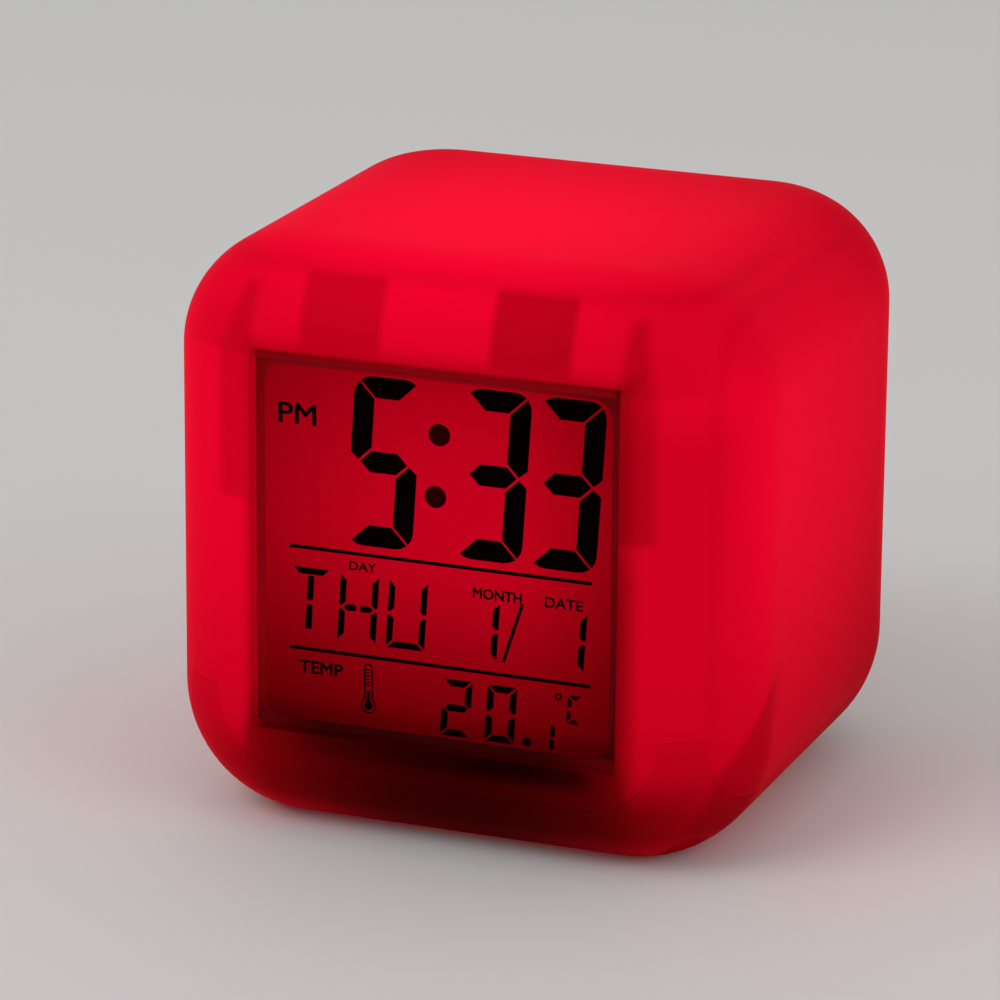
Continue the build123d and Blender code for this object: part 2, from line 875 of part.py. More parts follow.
marks += [slanted(unit_bars[name], across(unit_place_share), unit_floor) for name in "adef"]

# Rules between the rows
half_rule = across(rule_length_share) / 2
for share in (upper_rule_share, lower_rule_share):
    rule = bar_points((-half_rule, upward(share)), (half_rule, upward(share)), rule_width)
    marks += [[(x, view_center + z) for x, z in rule]]

# Thermometer sign: outlined tube and bulb, mercury and scale ticks
thermometer_place = across(thermometer_place_share)
bulb_level = view_center + upward(bulb_level_share)
tube_length = upward(thermometer_top_share - bulb_level_share) + thermometer_width / 2
tube_level = view_center + upward(thermometer_top_share) - tube_length / 2
mercury_length = upward(mercury_top_share - bulb_level_share)
tick_edge = thermometer_place - thermometer_width / 2 + thermometer_line / 2
tick_levels = [
    view_center + upward(tick_floor_share + index * tick_rise_share) for index in range(tick_count)
]

# All lit marks of the display
point_radius = point_stroke_share * temp_stroke
point_place = second_place + temp_width + 2 * temp_stroke
degree_level = view_center + upward(degree_level_share)
with BuildPart() as lcd_segments:
    with BuildSketch(front_plane(segment_face - segment_thickness)):
        for points in marks:
            Polygon(*points, align=None)
        with Locations(*colon_points):
            Circle(colon_stroke_share * digit_stroke)
        with Locations((point_place, view_center + temp_floor + point_radius)):
            Circle(point_radius)
        with Locations((across(degree_place_share), degree_level)):
            Circle(degree_radius)
            Circle(degree_radius - degree_line, mode=Mode.SUBTRACT)
        with Locations((thermometer_place, bulb_level)):
            Circle(bulb_radius)
        with Locations((thermometer_place, tube_level)):
            SlotOverall(tube_length, thermometer_width, rotation=90)
        with Locations((thermometer_place, bulb_level)):
            Circle(bulb_radius - thermometer_line, mode=Mode.SUBTRACT)
        with Locations((thermometer_place, tube_level)):
            SlotOverall(
                tube_length - 2 * thermometer_line,
                thermometer_width - 2 * thermometer_line,
                rotation=90,
                mode=Mode.SUBTRACT,
            )
        with Locations((thermometer_place, bulb_level)):
            Circle(mercury_radius)
            Rectangle(mercury_width, mercury_length, align=(Align.CENTER, Align.MIN))
        with Locations(*[(tick_edge, level) for level in tick_levels]):
            Rectangle(tick_length, tick_width, align=(Align.MIN, Align.CENTER))
    extrude(amount=segment_thickness)
lcd_segments.part.label = "lcd_segments"
export_step(lcd_segments.part, "parts/lcd_segments.step")

# Ribbon from the display ledge over the battery bay to the circuit board
with BuildPart() as lcd_ribbon:
    ribbon_front = -(segment_face - touch_gap - ribbon_thickness / 2)
    ribbon_back = board_front - touch_gap - ribbon_thickness / 2
    ribbon_low = ledge_bottom + ribbon_bend
    ribbon_high = bay_top + touch_gap + ribbon_thickness / 2
    ramp_end = -(bay_width / 2 + bay_wall + overrun)
    board_bottom = panel_center - panel_height / 2
    with BuildSketch(Plane.YZ.offset(-ribbon_width / 2)):
        with BuildLine() as route:
            FilletPolyline(
                (ribbon_front, glass_bottom - segment_gap),
                (ribbon_front, ribbon_low),
                (ramp_end - ribbon_landing, ribbon_low),
                (ramp_end, ribbon_high),
                (ribbon_back, ribbon_high),
                (ribbon_back, board_bottom + ribbon_landing),
                radius=ribbon_bend,
            )
        trace(route.line, ribbon_thickness)
    extrude(amount=ribbon_width)
lcd_ribbon.part.label = "lcd_ribbon"
export_step(lcd_ribbon.part, "parts/lcd_ribbon.step")

# Rear panel with its button, switch, sound and vent holes
with BuildPart() as rear_panel:
    with BuildSketch(front_plane(-panel_back)):
        with Locations((0, panel_center)):
            RectangleRounded(panel_width, panel_height, panel_corner)
        with Locations(*post_points):
            Circle(board_post_radius + fit_gap, mode=Mode.SUBTRACT)
        with Locations(*[(x, cap_row) for x in button_places]):
            Circle(cap_radius + slide_gap, mode=Mode.SUBTRACT)
        with Locations((0, bar_row)):
            SlotOverall(bar_width + 2 * slide_gap, bar_height + 2 * slide_gap, mode=Mode.SUBTRACT)
        with Locations((light_place, light_row)):
            Rectangle(
                knob_width + light_travel + 2 * slide_gap,
                knob_height + 2 * slide_gap,
                mode=Mode.SUBTRACT,
            )
        with Locations((sounder_place, sounder_row)):
            Circle(sounder_hole_radius, mode=Mode.SUBTRACT)
            with PolarLocations(sounder_hole_pitch, 6):
                Circle(sounder_hole_radius, mode=Mode.SUBTRACT)
        with Locations((light_place, sensor_row)):
            with GridLocations(0, vent_pitch, 1, vent_count):
                SlotOverall(vent_width, vent_height, mode=Mode.SUBTRACT)
    extrude(amount=-panel_thickness)
    add(pillars(front_plane(-panel_back), spacer_points, spacer_radius, panel_back - board_back - touch_gap))
rear_panel.part.label = "rear_panel"
export_step(rear_panel.part, "parts/rear_panel.step")

# Circuit board and its screws
with BuildPart() as main_board:
    with BuildSketch(front_plane(-board_back)):
        with Locations((0, panel_center)):
            Rectangle(panel_width, panel_height)
        with Locations(*post_points):
            Circle(small_screw_radius + fit_gap, mode=Mode.SUBTRACT)
    extrude(amount=board_thickness)
main_board.part.label = "main_board"
export_step(main_board.part, "parts/main_board.step")

with BuildPart() as board_screws:
    board_screw_length = board_thickness + board_post_length - touch_gap
    screw_plane = Plane(origin=(0, board_front - touch_gap, 0), x_dir=(-1, 0, 0), z_dir=(0, 1, 0))
    mirrored_points = [(-x, z) for x, z in post_points]
    add(
        screws(
            screw_plane,
            mirrored_points,
            small_screw_radius,
            board_screw_length,
            small_head_radius,
            small_head_height,
        )
    )
board_screws.part.label = "board_screws"
export_step(board_screws.part, "parts/board_screws.step")

# Four round buttons with the plungers that they push
cap_face = half_depth - cap_recess
for name, x in zip(button_names, button_places):
    with BuildPart() as button:
        with BuildSketch(front_plane(-flange_back)):
            with Locations((x, cap_row)):
                Circle(cap_radius + cap_flange)
        extrude(amount=-cap_flange_thickness)
        with BuildSketch(front_plane(-flange_back)):
            with Locations((x, cap_row)):
                Circle(cap_radius)
        extrude(amount=-(cap_face - flange_back))
        fillet(button.edges().group_by(Axis.Y)[-1], cap_round)
    button.part.label = "button_" + name
    export_step(button.part, "parts/button_" + name + ".step")

# Wide snooze and light button
with BuildPart() as button_snooze:
    with BuildSketch(front_plane(-flange_back)):
        with Locations((0, bar_row)):
            SlotOverall(bar_width + 2 * cap_flange, bar_height + 2 * cap_flange)
    extrude(amount=-cap_flange_thickness)
    with BuildSketch(front_plane(-flange_back)):
        with Locations((0, bar_row)):
            SlotOverall(bar_width, bar_height)
    extrude(amount=-(cap_face - flange_back))
    fillet(button_snooze.edges().group_by(Axis.Y)[-1], cap_round)
button_snooze.part.label = "button_snooze"
export_step(button_snooze.part, "parts/button_snooze.step")

plunger_points = {name: (x, cap_row) for name, x in zip(button_names, button_places)}
plunger_points["snooze"] = (0, bar_row)
plunger_length = plunger_rise + plunger_root
for name, point in plunger_points.items():
    with BuildPart() as plunger:
        add(pillars(front_plane(-(flange_back - touch_gap)), [point], plunger_radius, plunger_length))
    plunger.part.label = "plunger_" + name
    export_step(plunger.part, "parts/plunger_" + name + ".step")

# Push switches under the five buttons
with BuildPart() as push_switches:
    with BuildSketch(front_plane(-switch_top)):
        with Locations(*plunger_points.values()):
            Rectangle(switch_width, switch_width)
    extrude(amount=switch_height)
    bore_depth = plunger_root + button_travel + fit_gap
    add(
        pillars(front_plane(-switch_top), plunger_points.values(), plunger_radius + fit_gap, bore_depth),
        mode=Mode.SUBTRACT,
    )
push_switches.part.label = "push_switches"
export_step(push_switches.part, "parts/push_switches.step")

# Light switch: fixed body and sliding knob
slider_place = light_place - light_travel / 2
light_body_top = board_back + light_body_depth
runner_top = light_body_top - light_body_skin - touch_gap
with BuildPart() as light_switch_body:
    with BuildSketch(front_plane(-light_body_top)):
        with Locations((light_place, light_row)):
            Rectangle(light_body_width, light_body_height)
    extrude(amount=light_body_depth)
    with BuildSketch(front_plane(-(light_body_top - light_body_skin))):
        with Locations((light_place, light_row)):
            Rectangle(runner_width + light_travel + 2 * fit_gap, runner_height + 2 * fit_gap)
    extrude(amount=runner_thickness + 2 * touch_gap, mode=Mode.SUBTRACT)
    with BuildSketch(front_plane(-(light_body_top + overrun))):
        with Locations((light_place, light_row)):
            Rectangle(knob_width + light_travel + 2 * slide_gap, knob_height + 2 * slide_gap)
    extrude(amount=overrun + light_body_skin + touch_gap, mode=Mode.SUBTRACT)
light_switch_body.part.label = "light_switch_body"
export_step(light_switch_body.part, "parts/light_switch_body.step")

with BuildPart() as light_switch_knob:
    with BuildSketch(front_plane(-runner_top)):
        with Locations((slider_place, light_row)):
            Rectangle(runner_width, runner_height)
    extrude(amount=runner_thickness)
    with BuildSketch(front_plane(-runner_top)):
        with Locations((slider_place, light_row)):
            Rectangle(knob_width, knob_height)
    extrude(amount=-(cap_face - runner_top))
    chamfer(light_switch_knob.edges().group_by(Axis.Y)[-1], cap_round / 2)
light_switch_knob.part.label = "light_switch_knob"
export_step(light_switch_knob.part, "parts/light_switch_knob.step")

# Sounder behind its holes
with BuildPart() as sounder:
    sounder_length = panel_back - touch_gap - board_back
    add(pillars(front_plane(-board_back), [(sounder_place, sounder_row)], sounder_radius, -sounder_length))
    add(
        pillars(
            front_plane(-(panel_back - touch_gap)),
            [(sounder_place, sounder_row)],
            sounder_hole_radius,
            sounder_length / 2,
        ),
        mode=Mode.SUBTRACT,
    )
sounder.part.label = "sounder"
export_step(sounder.part, "parts/sounder.step")

# Temperature sensor bead on two leads behind the vents
with BuildPart() as sensor:
    bead_plane = panel_back - sensor_depth
    with Locations((light_place, bead_plane, sensor_row)):
        Sphere(sensor_radius)
    lead_points = [(light_place + side * sensor_lead_gap / 2, sensor_row) for side in (-1, 1)]
    add(pillars(front_plane(-bead_plane), lead_points, sensor_lead_radius, bead_plane - board_back))
sensor.part.label = "temperature_sensor"
export_step(sensor.part, "parts/temperature_sensor.step")

# Parts on the inner side of the circuit board
with BuildPart() as clock_chip:
    add(pillars(front_plane(-board_front), [(0, panel_center + chip_rise)], chip_radius, chip_height))
    fillet(clock_chip.edges().group_by(Axis.Y)[0], chip_round)
clock_chip.part.label = "clock_chip"
export_step(clock_chip.part, "parts/clock_chip.step")

with BuildPart() as capacitor:
    can_point = (-can_reach, panel_center + component_rise)
    add(pillars(front_plane(-board_front), [can_point], can_radius, can_height))
    chamfer(capacitor.edges().group_by(Axis.Y)[0], slot_width)
capacitor.part.label = "capacitor"
export_step(capacitor.part, "parts/capacitor.step")

with BuildPart() as crystal:
    crystal_level = board_front - crystal_radius - touch_gap
    with BuildSketch(Plane.XY.offset(panel_center + component_rise)):
        with Locations((can_reach, crystal_level)):
            Circle(crystal_radius)
    extrude(amount=crystal_length)
crystal.part.label = "crystal"
export_step(crystal.part, "parts/crystal.step")

with BuildPart() as board_resistors:
    with BuildSketch(front_plane(-board_front)):
        with Locations((0, panel_center - resistor_drop)):
            with GridLocations(resistor_pitch, 0, resistor_count, 1):
                Rectangle(resistor_width, resistor_length)
    extrude(amount=resistor_height)
board_resistors.part.label = "board_resistors"
export_step(board_resistors.part, "parts/board_resistors.step")

# Light board with four lamps
with BuildPart() as light_board:
    with BuildSketch(Plane.XY.offset(light_board_bottom)):
        Rectangle(light_board_width, light_board_depth)
        with Locations(*light_post_points):
            Circle(small_screw_radius + fit_gap, mode=Mode.SUBTRACT)
    extrude(amount=board_thickness)
light_board.part.label = "light_board"
export_step(light_board.part, "parts/light_board.step")

with BuildPart() as light_board_screws:
    light_head_plane = Plane(origin=(0, 0, light_board_top + touch_gap), x_dir=(1, 0, 0), z_dir=(0, 0, -1))
    light_screw_length = board_thickness + light_board_gap - touch_gap
    add(
        screws(
            light_head_plane,
            light_post_points,
            small_screw_radius,
            light_screw_length,
            small_head_radius,
            small_head_height,
        )
    )
light_board_screws.part.label = "light_board_screws"
export_step(light_board_screws.part, "parts/light_board_screws.step")

lamp_x = lamp_spread_x / 2
lamp_y = lamp_spread_y / 2
lamp_points = [(x, y) for y in (-lamp_y, lamp_y) for x in (-lamp_x, lamp_x)]
for index, (x, y) in enumerate(lamp_points, start=1):
    with BuildPart() as lamp:
        lamp_plane = Plane.XY.offset(light_board_top)
        add(pillars(lamp_plane, [(x, y)], lamp_radius + lamp_flange, lamp_flange_height))
        add(pillars(lamp_plane, [(x, y)], lamp_radius, lamp_height))
        with Locations((x, y, light_board_top + lamp_height)):
            Sphere(lamp_radius)
    lamp.part.label = "lamp_" + str(index)
    export_step(lamp.part, "parts/lamp_" + str(index) + ".step")

with BuildPart() as lamp_driver:
    with BuildSketch(Plane.XY.offset(light_board_top)):
        Rectangle(driver_length, driver_width)
    extrude(amount=driver_height)
    chamfer(lamp_driver.edges().group_by(Axis.Z)[-1], slot_width / 2)
lamp_driver.part.label = "lamp_driver"
export_step(lamp_driver.part, "parts/lamp_driver.step")

# Batteries, turned end for end in neighbouring rows
for index, y in enumerate(battery_rows, start=1):
    nub_side = 1 if index % 2 else -1
    can_length = battery_length - nub_length
    can_start = -nub_side * battery_length / 2
    battery_plane = Plane(origin=(can_start, y, battery_level), x_dir=(0, 1, 0), z_dir=(nub_side, 0, 0))
    with BuildPart() as battery:
        add(pillars(battery_plane, [(0, 0)], battery_radius, can_length))
        add(pillars(battery_plane, [(0, 0)], nub_radius, battery_length))
    battery.part.label = "battery_" + str(index)
    export_step(battery.part, "parts/battery_" + str(index) + ".step")


contact_bottom = floor_top + touch_gap
contact_top = bay_ceiling - fit_gap


def contact(side, rows, bump_rows, leaf_rows, tab_rows):
    """Sheet metal contact at one end of the bay, with a bump or a spring leaf for each cell."""
    face = side * (bay_length / 2 - touch_gap)
    inward = Plane(origin=(face, 0, 0), x_dir=(0, -side, 0), z_dir=(-side, 0, 0))
    middle = sum(rows) / len(rows)
    width = max(rows) - min(rows) + contact_width
    with BuildPart() as strip:
        with BuildSketch(inward):
            with Locations((-side * middle, contact_bottom)):
                Rectangle(width, contact_top - contact_bottom, align=(Align.CENTER, Align.MIN))
        extrude(amount=contact_thickness)
        for y in bump_rows:
            with BuildSketch(inward):
                with Locations((-side * y, battery_level)):
                    Circle(contact_bump_radius)
            extrude(amount=contact_thickness + contact_reach)
        for y in leaf_rows:
            root = face - side * contact_thickness
            tip = root - side * contact_reach
            with BuildSketch(Plane.XZ.offset(-y)):
                Polygon(
                    (root, battery_level - leaf_height / 2),
                    (tip, battery_level - contact_thickness),
                    (tip, battery_level + contact_thickness),
                    (root, battery_level + leaf_height / 2),
                    (root, battery_level + leaf_height / 2 - 2 * contact_thickness),
                    (tip + side * contact_thickness, battery_level),
                    (root, battery_level - leaf_height / 2 + 2 * contact_thickness),
                    align=None,
                )
            extrude(amount=leaf_width / 2, both=True)
        for y in tab_rows:
            with BuildSketch(inward):
                with Locations((-side * y, contact_top - touch_gap)):
                    Rectangle(solder_tab_width, solder_tab_height, align=(Align.CENTER, Align.MIN))
            extrude(amount=contact_thickness)
    return strip.part


first_row, second_row, third_row, fourth_row = battery_rows
contact_plan = {
    "contact_bridge_front": (1, [first_row, second_row], [first_row], [second_row], []),
    "contact_bridge_rear": (1, [third_row, fourth_row], [third_row], [fourth_row], []),
    "contact_bridge_middle": (-1, [second_row, third_row], [second_row], [third_row], []),
    "contact_negative": (-1, [first_row], [], [first_row], [first_row]),
    "contact_positive": (-1, [fourth_row], [fourth_row], [], [fourth_row]),
}
for name, plan in contact_plan.items():
    strip_part = contact(*plan)
    strip_part.label = name
    export_step(strip_part, "parts/" + name + ".step")

# Battery wires from the terminal tabs to the light board
tab_top = contact_top - touch_gap + solder_tab_height
wire_start = -(bay_length / 2 - 2 * touch_gap - contact_thickness)
wire_level = tab_top - wire_radius
wire_turn = (wire_start - light_board_width / 2) / 2
wire_end = -light_board_width / 2 + wire_landing
for name, y in (("wire_negative", first_row), ("wire_positive", fourth_row)):
    wire_plane = Plane(origin=(0, y, 0), x_dir=(1, 0, 0), z_dir=(0, -1, 0))
    with BuildPart() as wire:
        with BuildLine(wire_plane) as wire_path:
            FilletPolyline(
                (wire_start, wire_level),
                (wire_turn, wire_level),
                (wire_turn, light_board_top + wire_rise + wire_bend),
                (wire_end, light_board_top + wire_rise + wire_bend),
                (wire_end, light_board_top + touch_gap),
                radius=wire_bend,
            )
        with BuildSketch(Plane(origin=(wire_start, y, wire_level), x_dir=(0, 1, 0), z_dir=(1, 0, 0))):
            Circle(wire_radius)
        sweep()
    wire.part.label = name
    export_step(wire.part, "parts/" + name + ".step")

# Link wires from the light board to the circuit board
link_start = light_board_depth / 2 - link_landing
link_level = light_board_top + link_rise
with BuildPart() as link_wires:
    for index in range(link_count):
        x = link_place - index * link_pitch
        link_plane = Plane(origin=(x, 0, 0), x_dir=(0, 1, 0), z_dir=(1, 0, 0))
        with BuildLine(link_plane) as link_path:
            FilletPolyline(
                (link_start, light_board_top + touch_gap),
                (link_start, link_level),
                (board_front - touch_gap, link_level),
                radius=link_bend,
            )
        with BuildSketch(Plane.XY.offset(light_board_top + touch_gap)):
            with Locations((x, link_start)):
                Circle(link_radius)
        sweep()
link_wires.part.label = "link_wires"
export_step(link_wires.part, "parts/link_wires.step")
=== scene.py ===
import math

import bpy
from mathutils import Matrix, Vector


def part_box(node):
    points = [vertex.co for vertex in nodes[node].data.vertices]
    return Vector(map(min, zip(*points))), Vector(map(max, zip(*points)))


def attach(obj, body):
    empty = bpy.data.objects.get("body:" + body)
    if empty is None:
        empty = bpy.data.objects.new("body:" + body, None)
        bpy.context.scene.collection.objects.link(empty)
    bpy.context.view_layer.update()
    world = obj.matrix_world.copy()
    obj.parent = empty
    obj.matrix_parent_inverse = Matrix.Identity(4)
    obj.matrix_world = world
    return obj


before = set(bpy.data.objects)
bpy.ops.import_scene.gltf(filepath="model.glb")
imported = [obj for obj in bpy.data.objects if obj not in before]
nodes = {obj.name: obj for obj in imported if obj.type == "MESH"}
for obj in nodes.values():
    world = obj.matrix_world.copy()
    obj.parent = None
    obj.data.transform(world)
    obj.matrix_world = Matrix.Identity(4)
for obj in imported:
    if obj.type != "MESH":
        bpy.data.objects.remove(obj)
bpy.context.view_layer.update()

MM = 0.001


def corners(node):
    """Lowest and highest corner of a piece, in millimetres."""
    low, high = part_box(node)
    return low / MM, high / MM


def middle(node):
    """Middle of a piece's box, in millimetres."""
    low, high = corners(node)
    return (low + high) / 2


# Places on the clock, in millimetres
window_low, window_high = corners("display_lens")
mark_low, mark_high = corners("lcd_segments")
PANEL_FACE = corners("rear_panel")[1].y
CAP_FACE = corners("button_mode")[1].y
DOOR_FACE = corners("battery_door")[0].z
EDGE_CENTRE_X = 22.0
EDGE_CENTRE_Y = 21.0
TAB_SCREW_X = 30.0
TAB_SCREW_Y = 26.8
LUG_OFFSET = 12.5
RIGHT_LUG_SHIFT = 0.6
WING_REACH = 29.4
TOP_EDGE = 75.0
EDGE_LINE_X = 35.6

# Names of the five buttons
ROUND_BUTTONS = ("mode", "set", "down", "up")
BUTTONS = ROUND_BUTTONS + ("snooze",)

# Share of the case's colour that is light from inside, and share that is paint
LIGHT_SHARE = 0.78
PAINT_SHARE = 0.25

# Levels of the light, from 0 to 1 as a screen shows them
SIDE_LEVEL = 0.898
TOP_LEVEL = 0.995
UNDERSIDE_LEVEL = 0.42
DISPLAY_LEVEL = 0.235
DISPLAY_SPOT_LEVEL = 0.547

# The red light: its curve from screen level to strength, and the green and blue in it
SCREEN_GAMMA = 2.2
GREEN_SHARE = 0.0006
BLUE_SHARE = 0.0085
BLUE_RISE_SHARE = 0.0225


# Shader maths
class Wire:
    """An output socket of a finish; arithmetic on it adds Math nodes."""

    def __init__(self, finish, socket):
        self.finish = finish
        self.socket = socket

    def math(self, operation, first, second=0.0):
        return self.finish.node("ShaderNodeMath", {"operation": operation}, {0: first, 1: second})

    def __add__(self, other):
        return self.math("ADD", self, other)

    def __radd__(self, other):
        return self.math("ADD", other, self)

    def __sub__(self, other):
        return self.math("SUBTRACT", self, other)

    def __rsub__(self, other):
        return self.math("SUBTRACT", other, self)

    def __mul__(self, other):
        return self.math("MULTIPLY", self, other)

    def __rmul__(self, other):
        return self.math("MULTIPLY", other, self)

    def __pow__(self, other):
        return self.math("POWER", self, other)

    def __abs__(self):
        return self.math("ABSOLUTE", self)

    def squared(self):
        return self * self

    def at_least(self, other):
        return self.math("MAXIMUM", self, other)

    def at_most(self, other):
        return self.math("MINIMUM", self, other)

    def lopsided(self, below, above):
        """Squared distance from zero, counted in one width below it and in another above it."""
        under = self.at_most(0.0) * (1.0 / below)
        over = self.at_least(0.0) * (1.0 / above)
        return under.squared() + over.squared()

    def fading(self):
        """1 at zero, falling off as this value grows."""
        return self.math("EXPONENT", self * -1.0)

    def turn_from(self, other):
        """Angle in degrees of the point that is this far up and the other far along."""
        return self.math("ARCTAN2", self, other) * math.degrees(1)


class Finish:
    """A node material while it is put together."""

    def __init__(self, name):
        self.material = bpy.data.materials.new(name)
        self.material.use_nodes = True
        self.tree = self.material.node_tree
        self.tree.nodes.clear()

    def node(self, kind, settings=None, sockets=None, output=0):
        """Adds a node, sets its settings first and its sockets next, and gives one of its outputs."""
        made = self.tree.nodes.new(kind)
        for name, value in (settings or {}).items():
            setattr(made, name, value)
        for name, value in (sockets or {}).items():
            if isinstance(value, Wire):
                self.tree.links.new(value.socket, made.inputs[name])
            else:
                made.inputs[name].default_value = value
        return Wire(self, made.outputs[output]) if made.outputs else None

    def point(self):
        return self.node("ShaderNodeTexCoord", output="Object")

    def place(self, axes="xyz"):
        """Object coordinates along these axes, in millimetres."""
        split = self.node("ShaderNodeSeparateXYZ", sockets={0: self.point()})
        outputs = split.socket.node.outputs
        return [Wire(self, outputs[axis.upper()]) * (1.0 / MM) for axis in axes]

    def step(self, low, high, value):
        """Smooth step from 0 at low to 1 at high; high may be the smaller one."""
        return self.node(
            "ShaderNodeMapRange",
            {"interpolation_type": "SMOOTHSTEP"},
            {"Value": value, "From Min": low, "From Max": high},
        )

    def band(self, low, high, soft, value):
        """1 between low and high, with soft edges."""
        return self.step(low - soft, low + soft, value) * self.step(high + soft, high - soft, value)

    def grain(self, size, detail=2.0):
        """Noise from 0 to 1 with features of this size in millimetres."""
        return self.node(
            "ShaderNodeTexNoise",
            {"noise_dimensions": "3D"},
            {"Vector": self.point(), "Scale": 1.0 / (size * MM), "Detail": detail, "Roughness": 0.5},
        )

    def bump(self, height, depth, strength):
        """Normal of a surface with this relief, whose depth is in millimetres."""
        relief = {"Height": height, "Distance": depth * MM, "Strength": strength}
        return self.node("ShaderNodeBump", sockets=relief)

    def blend(self, share, first, second):
        """Colour between two colours."""
        return self.node("ShaderNodeMix", {"data_type": "RGBA"}, {0: share, 6: first, 7: second}, output=2)

    def red_light(self, level, share):
        """Colour of the red light at a display level, times a share."""
        light = level.at_least(0.0) ** SCREEN_GAMMA
        red = light * share
        blue = red * (BLUE_SHARE + BLUE_RISE_SHARE * light)
        parts = {"Red": red, "Green": red * GREEN_SHARE, "Blue": blue}
        return self.node("ShaderNodeCombineColor", sockets=parts)

    def surface(self, **sockets):
        """Ends the material in a Principled surface."""
        named = {}
        for name, value in sockets.items():
            named[name.replace("_", " ").title().replace("Ior", "IOR")] = value
        shader = self.node("ShaderNodeBsdfPrincipled", sockets=named)
        self.node("ShaderNodeOutputMaterial", sockets={"Surface": shader})
        return self.material


def dress(material, *names):
    for name in names:
        nodes[name].material_slots[0].material = material


# Light through the case, as display levels from 0 to 1
def beside_window(x, z):
    """Distance to the window's edge over the front, in millimetres, negative inside it."""
    return (abs(x) - window_high.x).at_least(z - window_high.z).at_least(window_low.z - z)


def wall_light(finish, x, y, z):
    """Bright at the front and the top, darker to the back, the foot and the right of the window."""
    fall = 0.00013 - 0.00003 * finish.step(-20.0, -26.0, x)
    side = SIDE_LEVEL - fall * (52.0 - z).at_least(0.0).squared() - 0.0022 * y - 0.00005 * y.squared()
    low_right = finish.step(12.0, 6.0, z) * finish.step(33.0, 37.0, x) * finish.step(-5.0, -20.0, y)
    side = side - 0.08 * low_right
    corner = finish.step(-24.0, -35.0, y) * finish.step(20.0, 27.0, x) * finish.step(68.0, 56.0, z)
    side = side * (1.0 - 0.1 * corner * finish.step(15.0, 50.0, z))
    top = TOP_LEVEL - 0.0001 * (x + 4.0).squared() - 0.0001 * (y + 10.0).squared()
    level = side + (top - side) * finish.step(60.0, 76.0, z)
    return level - 0.04 * finish.step(1.4, 0.0, abs(z - TOP_EDGE)) * finish.step(10.0, -10.0, y)


def holder_shade(finish, x, y, z):
    """Share of the light that the dark holder behind the front, its lugs and its wings leave."""
    front = finish.step(-31.0, -36.0, y) * finish.step(10.0, 16.0, z)
    beside = (abs(x - 0.8) - window_high.x).at_least(z - window_high.z)
    left = 1.0 - 0.3 * finish.step(2.9, -1.5, beside) * front
    low_right = finish.step(46.0, 40.0, z) * finish.step(0.0, 5.0, x)
    left = left * (1.0 - 0.12 * low_right * finish.step(3.0, 0.0, beside) * front)
    left = left * (1.0 - 0.05 * finish.step(73.0, 66.0, z) * finish.step(64.0, 65.0, z) * front)
    edge = finish.step(0.8, 0.1, beside_window(x, z)) * finish.step(-25.2, -23.5, x)
    left = left * (1.0 - 0.25 * edge * front)
    near = finish.step(-27.0, -31.0, y)
    lean = 0.18 * (y + 39.0)
    left_lug = finish.step(6.2, 4.6, abs(x + LUG_OFFSET + lean))
    right_lug = finish.step(6.2, 4.6, abs(x - LUG_OFFSET - RIGHT_LUG_SHIFT + lean))
    tall = finish.step(75.2, 74.0, z) * finish.step(65.0, 67.8, z)
    left = left * (1.0 - (0.14 * left_lug + 0.19 * right_lug) * tall * near)
    outer = WING_REACH - 0.28 * (z - 64.0).at_least(0.0)
    wing = finish.step(24.0, 26.0, abs(x)) * finish.step(1.2, -1.2, abs(x) - outer)
    wing = wing * finish.band(45.5, 73.0, 0.9, z)
    return left * (1.0 - (0.1 + 0.04 * finish.step(-1.0, 1.0, x)) * wing * near)


def edge_line_shade(finish, x, y, z):
    """Share of the light that a faint painted shade line up the right edge and along the top leaves."""
    line = finish.step(1.2, 0.0, abs(x - EDGE_LINE_X)) * finish.step(24.0, 18.0, y) * finish.step(16.0, 26.0, z)
    return 1.0 - 0.03 * line


def foot_shade(finish, x, y, z, level):
    """Level with the dim stretch that the display's foot leaves low on the front, and a painted highlight along
    the bottom rim.
    """
    across = abs(x)
    ahead = (-EDGE_CENTRE_Y - y).at_least(0.0)
    outward = (across - EDGE_CENTRE_X).at_least(0.0)
    facing = finish.step(10.0, 45.0, ahead.turn_from(outward))
    dim = 0.22 + 0.00035 * x.squared() - 0.0024 * x
    strip = finish.step(11.0, 14.0, z) * finish.step(-21.0, -14.0, x) * finish.step(24.0, 19.0, x)
    lit_rim = finish.step(6.0, 2.0, z) * (0.4 + 0.6 * finish.step(6.0, 20.0, across))
    strip_depth = 0.06 + 0.06 * finish.step(0.0, 12.0, x)
    dim = dim - strip_depth * strip + 0.11 * lit_rim + 0.05 * finish.step(22.0, 28.0, across)
    reach = 16.0 + 13.0 * finish.step(27.0, 22.0, across)
    return level + (dim - level) * facing * finish.step(0.0, 8.0, reach - z)


def post_shade(finish, x, y, z):
    """Share of the light that a corner post, seen as a slanting leaf on the right side, leaves."""
    drop = (25.0 - z).at_least(0.0)
    middle = -20.5 - 0.65 * drop.at_most(10.5)
    half = (0.4 + 0.36 * drop).at_most(4.3)
    leaf = finish.step(-1.2, 1.2, y - middle + half) * finish.step(3.2, -1.6, y - middle - half)
    return 1.0 - 0.13 * leaf * finish.step(26.5, 23.0, z) * finish.step(30.0, 34.0, x)


def case_level(finish):
    """Level of the light that comes through the case."""
    x, y, z = finish.place()
    level = wall_light(finish, x, y, z) * holder_shade(finish, x, y, z) * edge_line_shade(finish, x, y, z)
    return foot_shade(finish, x, y, z, level) * post_shade(finish, x, y, z)


